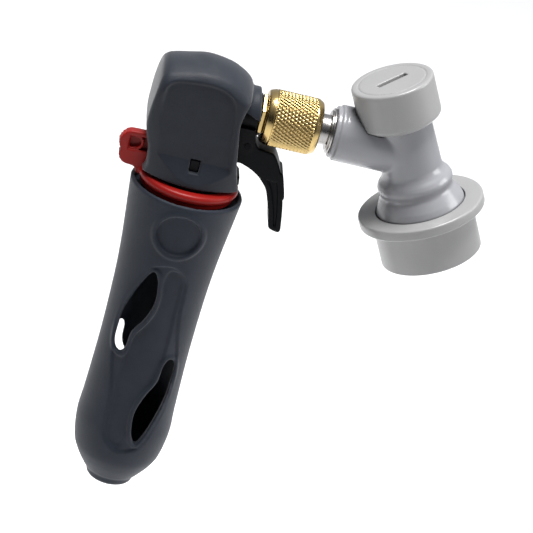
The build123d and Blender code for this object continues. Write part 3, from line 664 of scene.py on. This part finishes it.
def holder_field(x, y, z):
    """Tube with its relief, windows and hollow. The far side repeats the near side's pattern."""
    out = np.hypot(x, y)
    side = np.where(y < 0, x, -x)
    steep = np.interp(z, HOLDER_SKIN[:, 0], np.gradient(HOLDER_SKIN[:, 1], HOLDER_SKIN[:, 0]))
    body = (out - np.interp(z, HOLDER_SKIN[:, 0], HOLDER_SKIN[:, 1])) / np.sqrt(1 + steep**2)
    windows = np.minimum(upper_window(side, z), lower_window(side, z))
    body = body + RELIEF_DEPTH * rise(-recess(side, z), -0.3, 0.6)
    body = body + RELIEF_DEPTH * rise(-ribbon(side, z), -0.3, 0.6)
    body = body - WINDOW_RIM_HEIGHT * rise(-windows, -1.6, -0.8)
    # round badge with a raised rim, left blank, on the near side
    badge = np.hypot(x, z - EMBLEM_Z) + np.where(y < 0, 0, 40)
    rim = rise(badge, EMBLEM_RADIUS - 0.2, EMBLEM_RADIUS + 0.3) * rise(-badge, -EMBLEM_RIM[1], -EMBLEM_RIM[0])
    body = body - BADGE_RIM_HEIGHT * rim
    body = body + BADGE_DEPTH * rise(-badge, -EMBLEM_RADIUS, -EMBLEM_RADIUS + 0.5)
    body = both(both(body, z, 0.9), -HANDLE_LENGTH - z, 1.3)
    hollow = both(out - np.interp(z, HOLDER_HOLLOW[:, 0], HOLDER_HOLLOW[:, 1]), HOLDER_HOLLOW[0, 0] - z)
    body = less(body, hollow, 0.25)
    return less(body, windows, 0.4)


# Head cover: domed shell with sunk side panels, a flared lip and a hood over the outlet

COVER_SIDE = through(
    [
        (-12.9, 0.0),
        (-13.2, 6.0),
        (-13.9, 11.0),
        (-15.0, 14.0),
        (-16.1, 18.5),
        (-16.2, 24.0),
        (-15.9, 30.0),
        (-15.4, 34.0),
        (-14.5, 35.8),
        (-12.6, 36.9),
        (-7.8, 38.0),
        (-2.9, 38.9),
        (3.1, 38.2),
        (6.6, 36.9),
        (9.3, 35.2),
        (10.5, 33.2),
        (9.6, 29.0),
        (9.3, 24.0),
        (10.6, 16.0),
        (11.5, 11.0),
        (13.2, 5.0),
        (13.6, 0.0),
    ],
    steps=5,
)
PANEL = through(
    [
        (-10.4, 1.0),
        (-11.6, 8.0),
        (-12.6, 13.0),
        (-13.7, 20.6),
        (-14.0, 28.0),
        (-13.5, 31.6),
        (-11.8, 33.4),
        (-7.4, 34.4),
        (-0.9, 34.8),
        (3.6, 33.8),
        (6.6, 31.0),
        (8.0, 25.7),
        (9.2, 16.7),
        (10.1, 10.9),
        (10.4, 6.0),
        (10.4, 1.0),
    ],
    steps=5,
)
cover_side = Chart(COVER_SIDE)
panel = Chart(PANEL)


def cover_outer(x, y, z):
    """The cover's outer form, before it is hollowed."""
    up = np.clip((z - LIP_Z) / 26.0, 0, 1)
    lens = LIP_HALF - LIP_ARC + np.sqrt(np.maximum(LIP_ARC**2 - x**2, 1.0))
    half = lens * (1 - up) + COVER_HALF * up
    sunk = np.interp(z, (LIP_Z, 11.0, 30.0), (PANEL_WAIST + 3.2, PANEL_WAIST, PANEL_HALF))
    half = half - rise(-panel(x, z), -0.1, 1.3) * np.maximum(half - sunk, 0)
    crown = CROWN * (y / COVER_HALF) ** 2 * rise(z, 20, 36)
    side = cover_side(x, z + crown) + 0.25 * (y / COVER_HALF) ** 2
    # shallow valley across the top
    valley = 0.3 * rise(-np.abs(x + 5.5 + 0.35 * y), -3.5, 0) * rise(-np.abs(y + 4), -6, 0)
    valley = valley * rise(z, 35, 37)
    soft = 0.8 + 1.9 * rise(z, 26, 34)
    shell = both(side + valley, np.abs(y) - half, soft)
    reach = np.hypot(y, z - OUTLET_Z)
    hood = both(reach - HOOD_RADIUS, slab(x, HOOD_START, HOOD_END + 0.18 * (33.2 - z)), 0.5)
    hood = both(hood, 30.0 - 0.42 * (x - 5) - z, 0.3)
    return either(shell, hood, 0.9)


def cover_field(x, y, z):
    """Hollow shell with its notch, its mouth for the trigger and the small latch window."""
    outer = cover_outer(x, y, z)
    body = both(outer, LIP_Z - z, 0.25)
    # walled and roofed notch on the far side, where the ring's tab sweeps past
    out = np.hypot(x, y)
    behind = np.maximum(x - ROOM_BACK, ROOM_SIDE - y)
    notch = both(both(ROOM_RADIUS - out, z - ROOM_TOP, 0.2), behind)
    notch_wall = both(both(ROOM_RADIUS - ROOM_WALL - out, z - ROOM_TOP - ROOM_WALL), behind - ROOM_WALL)
    body = less(body, notch, 0.3)
    hollow = less(outer + COVER_WALL, notch_wall)
    wide = np.maximum(np.abs(y) - MOUTH_HALF, MOUTH_BACK - x)
    wide = np.maximum(wide, np.maximum(z - MOUTH_TOP + 0.2 * (x - 8), MOUTH_FOOT - z))
    narrow = np.maximum(np.maximum(np.abs(y) - SLIT_HALF, SLIT_BACK - x), z - SLIT_TOP)
    boss = np.maximum(np.hypot(y, z - OUTLET_Z) - BOSS_RADIUS, -x)
    body = less(body, np.minimum(np.minimum(hollow, boss), np.minimum(wide, narrow)), 0.25)
    window = np.maximum(np.abs(x - LATCH[0]) - LATCH_SIZE[0], np.abs(z - LATCH[1]) - LATCH_SIZE[1])
    return less(body, window, 0.2)


# Safety ring: rounded band with a thumb tab at the back and a tooth that blocks the trigger

TAB = through(
    [
        (-12.2, 0.6),
        (-14.8, 0.8),
        (-16.0, 2.4),
        (-18.4, 2.75),
        (-19.6, 3.2),
        (-20.4, 4.1),
        (-20.9, 5.4),
        (-20.8, 6.7),
        (-21.4, 8.2),
        (-21.6, 9.7),
        (-20.7, 11.5),
        (-19.3, 12.6),
        (-17.6, 12.8),
        (-12.2, 12.9),
    ],
    steps=5,
    closed=False,
)
TAB_GAP = np.array([(-18.7, 7.3), (-18.9, 9.0), (-18.8, 11.5), (-11.0, 11.6), (-11.0, 7.7)])
LOOP = through([(-18.7, 7.7), (-18.8, 11.2), (-16.6, 11.5), (-15.3, 10.5), (-15.2, 9.0), (-16.3, 7.8)])
TOOTH = np.array(
    [(14.0, 0.3), (15.4, 0.3), (20.4, 2.4), (20.4, 5.0), (18.6, 5.6), (15.4, 3.2), (14.0, 3.2)]
)
tab = Chart(TAB, step=0.08)
tab_gap = Chart(TAB_GAP, step=0.08)
loop = Chart(LOOP, step=0.08)
tooth = Chart(TOOTH, step=0.08)


def ring_field(x, y, z):
    """Band and flange, the ribbed thumb tab with its loop and web, and the tooth."""
    out = np.hypot(x, y)
    bulge = RING_BULGE - 0.35 * np.minimum((z - RING_BULGE_Z) ** 2, 3.0)
    band = both(np.maximum(RING_INNER - out, (out - bulge) * 0.8), slab(z, *RING_SPAN), 0.5)
    flange = both(slab(out, *RING_FLANGE), slab(z, *RING_FLANGE_SPAN), 0.2)
    grip = GRIP_DEPTH * np.cos(z * 2 * pi / GRIP_PITCH) * rise(-x, 19.6, 20.2)
    lever = both(tab(x, z) + grip, np.abs(y) - TAB_HALF, 0.35)
    lever = less(lever, tab_gap(x, z), 0.3)
    eye = both(np.abs(loop(x, z)) - LOOP_WALL_HALF, np.abs(y) - LOOP_HALF, 0.2)
    web = both(tab(x, z) + 0.5, np.abs(y - WEB_MIDDLE) - WEB_HALF)
    lever = both(either(np.minimum(lever, web), eye, 0.15), RING_INNER - out, 0.1)
    ahead = x * cos(TOOTH_ANGLE) + y * sin(TOOTH_ANGLE)
    aside = y * cos(TOOTH_ANGLE) - x * sin(TOOTH_ANGLE)
    stop = both(tooth(ahead, z), np.abs(aside) - TAB_HALF, 0.35)
    return either(either(either(band, flange, 0.1), lever, 0.5), stop, 0.5)


# Trigger: curved lever with a raised finger pad

TRIGGER = through(
    [
        (10.4, 18.3),
        (12.6, 19.1),
        (14.9, 18.5),
        (16.1, 17.3),
        (18.0, 16.9),
        (20.6, 16.5),
        (22.0, 15.0),
        (23.5, 12.5),
        (24.8, 9.8),
        (26.1, 5.6),
        (27.2, 1.2),
        (28.0, -3.2),
        (28.3, -5.5),
        (27.9, -6.3),
        (26.8, -6.3),
        (25.2, -5.8),
        (24.5, -4.6),
        (23.5, -0.6),
        (22.2, 3.1),
        (21.1, 5.7),
        (19.4, 7.7),
        (17.6, 9.3),
        (15.0, 10.7),
        (12.2, 11.6),
        (10.6, 11.4),
        (10.3, 13.0),
        (10.3, 16.0),
    ],
    steps=5,
)
FINGER_PAD = through([(23.9, 11.0), (24.7, 11.2), (25.9, 7.8), (26.8, 4.5), (26.3, 4.0), (25.0, 8.0)])
trigger_side = Chart(TRIGGER, step=0.1)
finger_pad = Chart(FINGER_PAD, step=0.1)


def trigger_field(x, y, z):
    """Lever with its finger pad, hollowed sides and the hole for its pin."""
    lever = both(trigger_side(x, z), np.abs(y) - TRIGGER_HALF, 0.45)
    pad = both(finger_pad(x, z), np.abs(y) - TRIGGER_HALF - 0.3, 0.3)
    # shallow hollow along each side
    waist = both(trigger_side(x, z) + 1.5, TRIGGER_HALF - 0.45 - np.abs(y), 0.3)
    lever = less(lever, both(waist, z - WAIST_TOP), 0.25)
    pin = np.hypot(x - PIVOT[0], z - PIVOT[1]) - PIVOT_HOLE
    return less(either(lever, pad, 0.25), pin, 0.1)


# Disconnect body, cap and collar, about the leaning axis

BODY_SKIN = np.array(
    [
        (BODY_SPAN[0], 12.0),
        (-18.2, 12.0),
        (-17.9, 12.55),
        (-16.9, 12.6),
        (-15.4, 12.05),
        (-13.8, 11.2),
        (-12.6, 10.5),
        (-11.9, 10.3),
        (-11.2, 10.45),
        (-10.3, 10.75),
        (-9.3, 10.7),
        (-8.3, 10.2),
        (-7.3, 9.35),
        (-6.5, 8.85),
        (-5.5, 8.6),
        (7.7, TUBE_RADIUS),
        (BODY_SPAN[1], TUBE_RADIUS),
    ]
)
BODY_HOLLOW = np.array(
    [
        (-40.0, 8.75),
        (-17.0, 8.75),
        (-16.99, 6.5),
        (-14.0, 6.5),
        (-13.99, 3.0),
        (-8.0, 3.0),
        (-7.99, 6.2),
        (30.0, 6.2),
    ]
)


def disconnect_field(out, across, up):
    """Tube with its swelled foot, the arm that meets the outlet, and the hollows in both."""
    radius = np.hypot(out, across)
    steep = np.interp(up, BODY_SKIN[:, 0], np.gradient(BODY_SKIN[:, 1], BODY_SKIN[:, 0]))
    tube = radius - np.interp(up, BODY_SKIN[:, 0], BODY_SKIN[:, 1])
    tube = tube / np.sqrt(1 + np.minimum(steep, 1) ** 2)
    tube = both(tube, slab(up, *BODY_SPAN), 0.3)
    # the arm runs back from the post's origin along the outlet
    along = -out * cos(POST_LEAN) + up * sin(POST_LEAN)
    reach = np.hypot(across, out * sin(POST_LEAN) + up * cos(POST_LEAN))
    length = POST_X - ARM_START
    step = POST_X - ARM_STEP
    arm = both(reach - ARM_RADIUS, slab(along, 0, step), 0.35)
    arm = np.minimum(arm, both(reach - ARM_END_RADIUS, slab(along, 0, length), 0.4))
    arm = arm + 0.12 * rise(-np.abs(along - step + ARM_GROOVE), -0.25, 0)
    body = either(tube, arm, 0.45)
    # room for the cap, a hair wider than the cap itself
    room = both(CAP_FOOT - CAP_GAP - up, radius - (CAP_CONE + CAP_GAP + CAP_FLARE * (up - CAP_FOOT)))
    body = less(body, both(np.maximum(room, radius - CAP_RADIUS - CAP_GAP), TUBE_RADIUS - radius))
    hollow = radius - np.interp(up, BODY_HOLLOW[:, 0], BODY_HOLLOW[:, 1])
    gas_way = both(reach - SOCKET_RADIUS, slab(along, length - SOCKET_DEPTH, length + 1))
    gas_way = np.minimum(gas_way, both(reach - GAS_WAY, slab(along, 0, length)))
    return less(body, np.minimum(hollow, gas_way), 0.15)


def cap_field(out, across, up):
    """Cap with a coned foot, a ring groove and a driver's slot in its top, and a bore for the tube."""
    radius = np.hypot(out, across)
    foot = (radius - CAP_CONE - CAP_FLARE * (up - CAP_FOOT)) * 0.6
    body = both(both(radius - CAP_RADIUS, foot, 0.4), slab(up, CAP_FOOT, CAP_TOP), 0.7)
    body = body + 0.22 * rise(-np.abs(radius - CAP_GROOVE), -0.35, 0) * rise(up, CAP_TOP - 1, CAP_TOP - 0.5)
    along = out * cos(SLOT_ANGLE) + across * sin(SLOT_ANGLE)
    aside = across * cos(SLOT_ANGLE) - out * sin(SLOT_ANGLE)
    slot = both(both(np.abs(along) - SLOT_REACH, np.abs(aside) - SLOT_HALF), CAP_TOP - SLOT_DEPTH - up)
    body = less(body, slot, 0.15)
    return less(body, both(radius - CAP_BORE, up - CAP_BORE_TOP), 0.15)


def post_piece(name, field, low, high, step, slot, replaces):
    """A skin about the disconnect's axis, riding on the disconnect."""
    points, faces = skin(field, low, high, step)
    place_piece(name, leaned(points), faces, "disconnect", slot, replaces)


def locking_collar():
    """Sliding collar: a wide flange on a skirt."""
    section = rounded(
        [
            (SKIRT_END, 13.1, 0.25),
            (SKIRT_END, SKIRT_RADIUS, 0.35),
            (FLANGE_TOP - 3.0, SKIRT_RADIUS, 0.4),
            (FLANGE_TOP - 3.0, FLANGE_RADIUS, 0.5),
            (FLANGE_TOP, FLANGE_RADIUS, 0.6),
            (FLANGE_TOP, 12.95, 0.2),
            (-22.8, 12.95, 0.1),
            (-22.8, 12.15, 0.1),
            (-24.6, 12.15, 0.1),
            (-28.4, 13.1, 0.1),
        ]
    )
    points, faces = lathe(section, 192)
    place_piece("collar_turned", on_post(points), faces, "collar", "grey_cap", ["locking_collar"])


# Brass outlet

KNURLS = 46
KNURL_SEGMENTS = 15
KNURL_PITCH = 2.0
KNURL_DEPTH = 0.42
KNURL_FLAT = 0.8
KNURL_START = 18.0
KNURL_END = 29.3


def tooth_wave(phase):
    """A V groove that repeats: 0 at its bottom and 1 half way between two grooves."""
    return np.abs((phase / (2 * pi)) % 1 * 2 - 1)


def knurled_nut():
    """Swivel nut with crossed V grooves between two plain rounded ends."""
    left = rounded(
        [
            (NUT_SHOULDER, NUT_BORE, 0),
            (NUT_START, NUT_BORE, 0.1),
            (NUT_START, 7.3, 0.9),
            (KNURL_START - 0.3, NUT_RADIUS, 0.5),
        ]
    )
    right = rounded(
        [
            (KNURL_END + 0.3, NUT_RADIUS, 0.5),
            (NUT_END, 7.2, 0.9),
            (NUT_END, NUT_THREAD, 0.2),
            (NUT_SHOULDER, NUT_THREAD, 0),
        ]
    )
    middle = np.linspace(KNURL_START, KNURL_END, 104)
    section = np.vstack([left, np.stack([middle, np.full(len(middle), NUT_RADIUS)], 1), right])
    points, faces = lathe(section, KNURLS * KNURL_SEGMENTS)
    along = points[:, 0]
    angle = np.arctan2(points[:, 2], points[:, 1])
    twist = 2 * pi * along / KNURL_PITCH
    # one set of grooves runs the full depth, and the set that crosses it is shallower
    height = np.minimum(tooth_wave(KNURLS * angle + twist), 0.5 + 0.5 * tooth_wave(KNURLS * angle - twist))
    height = np.minimum(height, KNURL_FLAT) / KNURL_FLAT
    outer = np.hypot(points[:, 1], points[:, 2]) > NUT_RADIUS - 0.1
    amount = rise(along, KNURL_START, KNURL_START + 0.3) * outer
    amount = amount * rise(-along, -KNURL_END, -KNURL_END + 0.3)
    scale = 1 - amount * KNURL_DEPTH * (1 - height) / NUT_RADIUS
    points[:, 1:] *= scale[:, None]
    place_piece("nut_knurled", on_outlet(points), faces, "nut", "brass", ["knurled_nut"])


def flare_fitting():
    """Stainless fitting: flare thread, bright shank and a stepped flange against the arm."""
    section = rounded(
        [
            (FITTING_START, FITTING_BORE, 0),
            (FITTING_START, 3.0, 0.2),
            (26.6, 5.5, 0.2),
            (30.4, 5.5, 0.2),
            (30.4, SHANK_RADIUS, 0.2),
            (FLANGE_START, SHANK_RADIUS, 0.2),
            (FLANGE_START, 5.7, 0.25),
            (FLANGE_START + 0.5, 5.7, 0.05),
            (FLANGE_START + 0.5, 6.4, 0.2),
            (ARM_START - 0.1, 6.4, 0.2),
            (ARM_START - 0.1, 4.9, 0),
            (FITTING_END, 4.9, 0.2),
            (FITTING_END, FITTING_BORE, 0),
        ]
    )
    points, faces = lathe(section)
    place_piece("fitting_turned", on_outlet(points), faces, "disconnect", "stainless", ["flare_fitting"])


def adapter_field(x, y, z):
    """Bevelled hexagon on a bored shaft, with the nose that the nut turns about."""
    reach = np.hypot(y, z - OUTLET_Z)
    flats = [np.abs(y * cos(a) + (z - OUTLET_Z) * sin(a)) for a in (0, pi / 3, 2 * pi / 3)]
    hexagon = np.maximum(np.maximum(*flats[:2]), flats[2]) - HEX_FLATS / 2
    bevel = reach - HEX_BEVEL - np.minimum(x - HEX_START, HEX_END - x) * 1.2
    head = both(both(hexagon, bevel), slab(x, HEX_START, HEX_END), 0.15)
    shaft = both(reach - 4.3, slab(x, ADAPTER_START, ADAPTER_SHOULDER), 0.2)
    nose = both(reach - 4.5, slab(x, ADAPTER_SHOULDER, ADAPTER_END), 0.2)
    return less(np.minimum(np.minimum(head, shaft), nose), reach - ADAPTER_BORE)


# Build

studio()
finish_cad_nodes()

# Name, field, the two corners of the box that it is read in, step, body, slot and the CAD piece replaced
MOULDED = [
    ("handle_moulded", holder_field, (-17, -17, -96.5), (17, 17, 0.5), 0.45,
     "holder", "holder_shell", "cartridge_holder"),
    ("cover_moulded", cover_field, (-17, -12, 3.5), (16, 12, 40.5), 0.32,
     "head", "head_shell", "head_cover"),
    ("ring_moulded", ring_field, (-22, -14.7, -1.5), (14.7, 20.6, 13.2), 0.2,
     "ring", "red_ring", "safety_ring"),
    ("trigger_moulded", trigger_field, (10, -4.7, -6.5), (28.6, 4.7, 19.6), 0.22,
     "trigger", "trigger_plastic", "trigger"),
    ("adapter_hex", adapter_field, (5, -6.6, 19), (20.4, 6.6, 32.2), 0.2,
     "head", "brass", "outlet_adapter"),
]
for name, field, low, high, step, body, slot, replaced in MOULDED:
    points, faces = skin(field, low, high, step)
    place_piece(name, points, faces, body, slot, [replaced])

post_piece(
    "disconnect_moulded", disconnect_field, (-27, -13, -32.2), (13, 13, 18.6), 0.38,
    "grey_body", ["disconnect_body"],
)
post_piece(
    "cap_moulded", cap_field, (-12, -12, 7.7), (12, 12, 21.4), 0.3,
    "grey_cap", ["disconnect_cap"],
)
locking_collar()
knurled_nut()
flare_fitting()
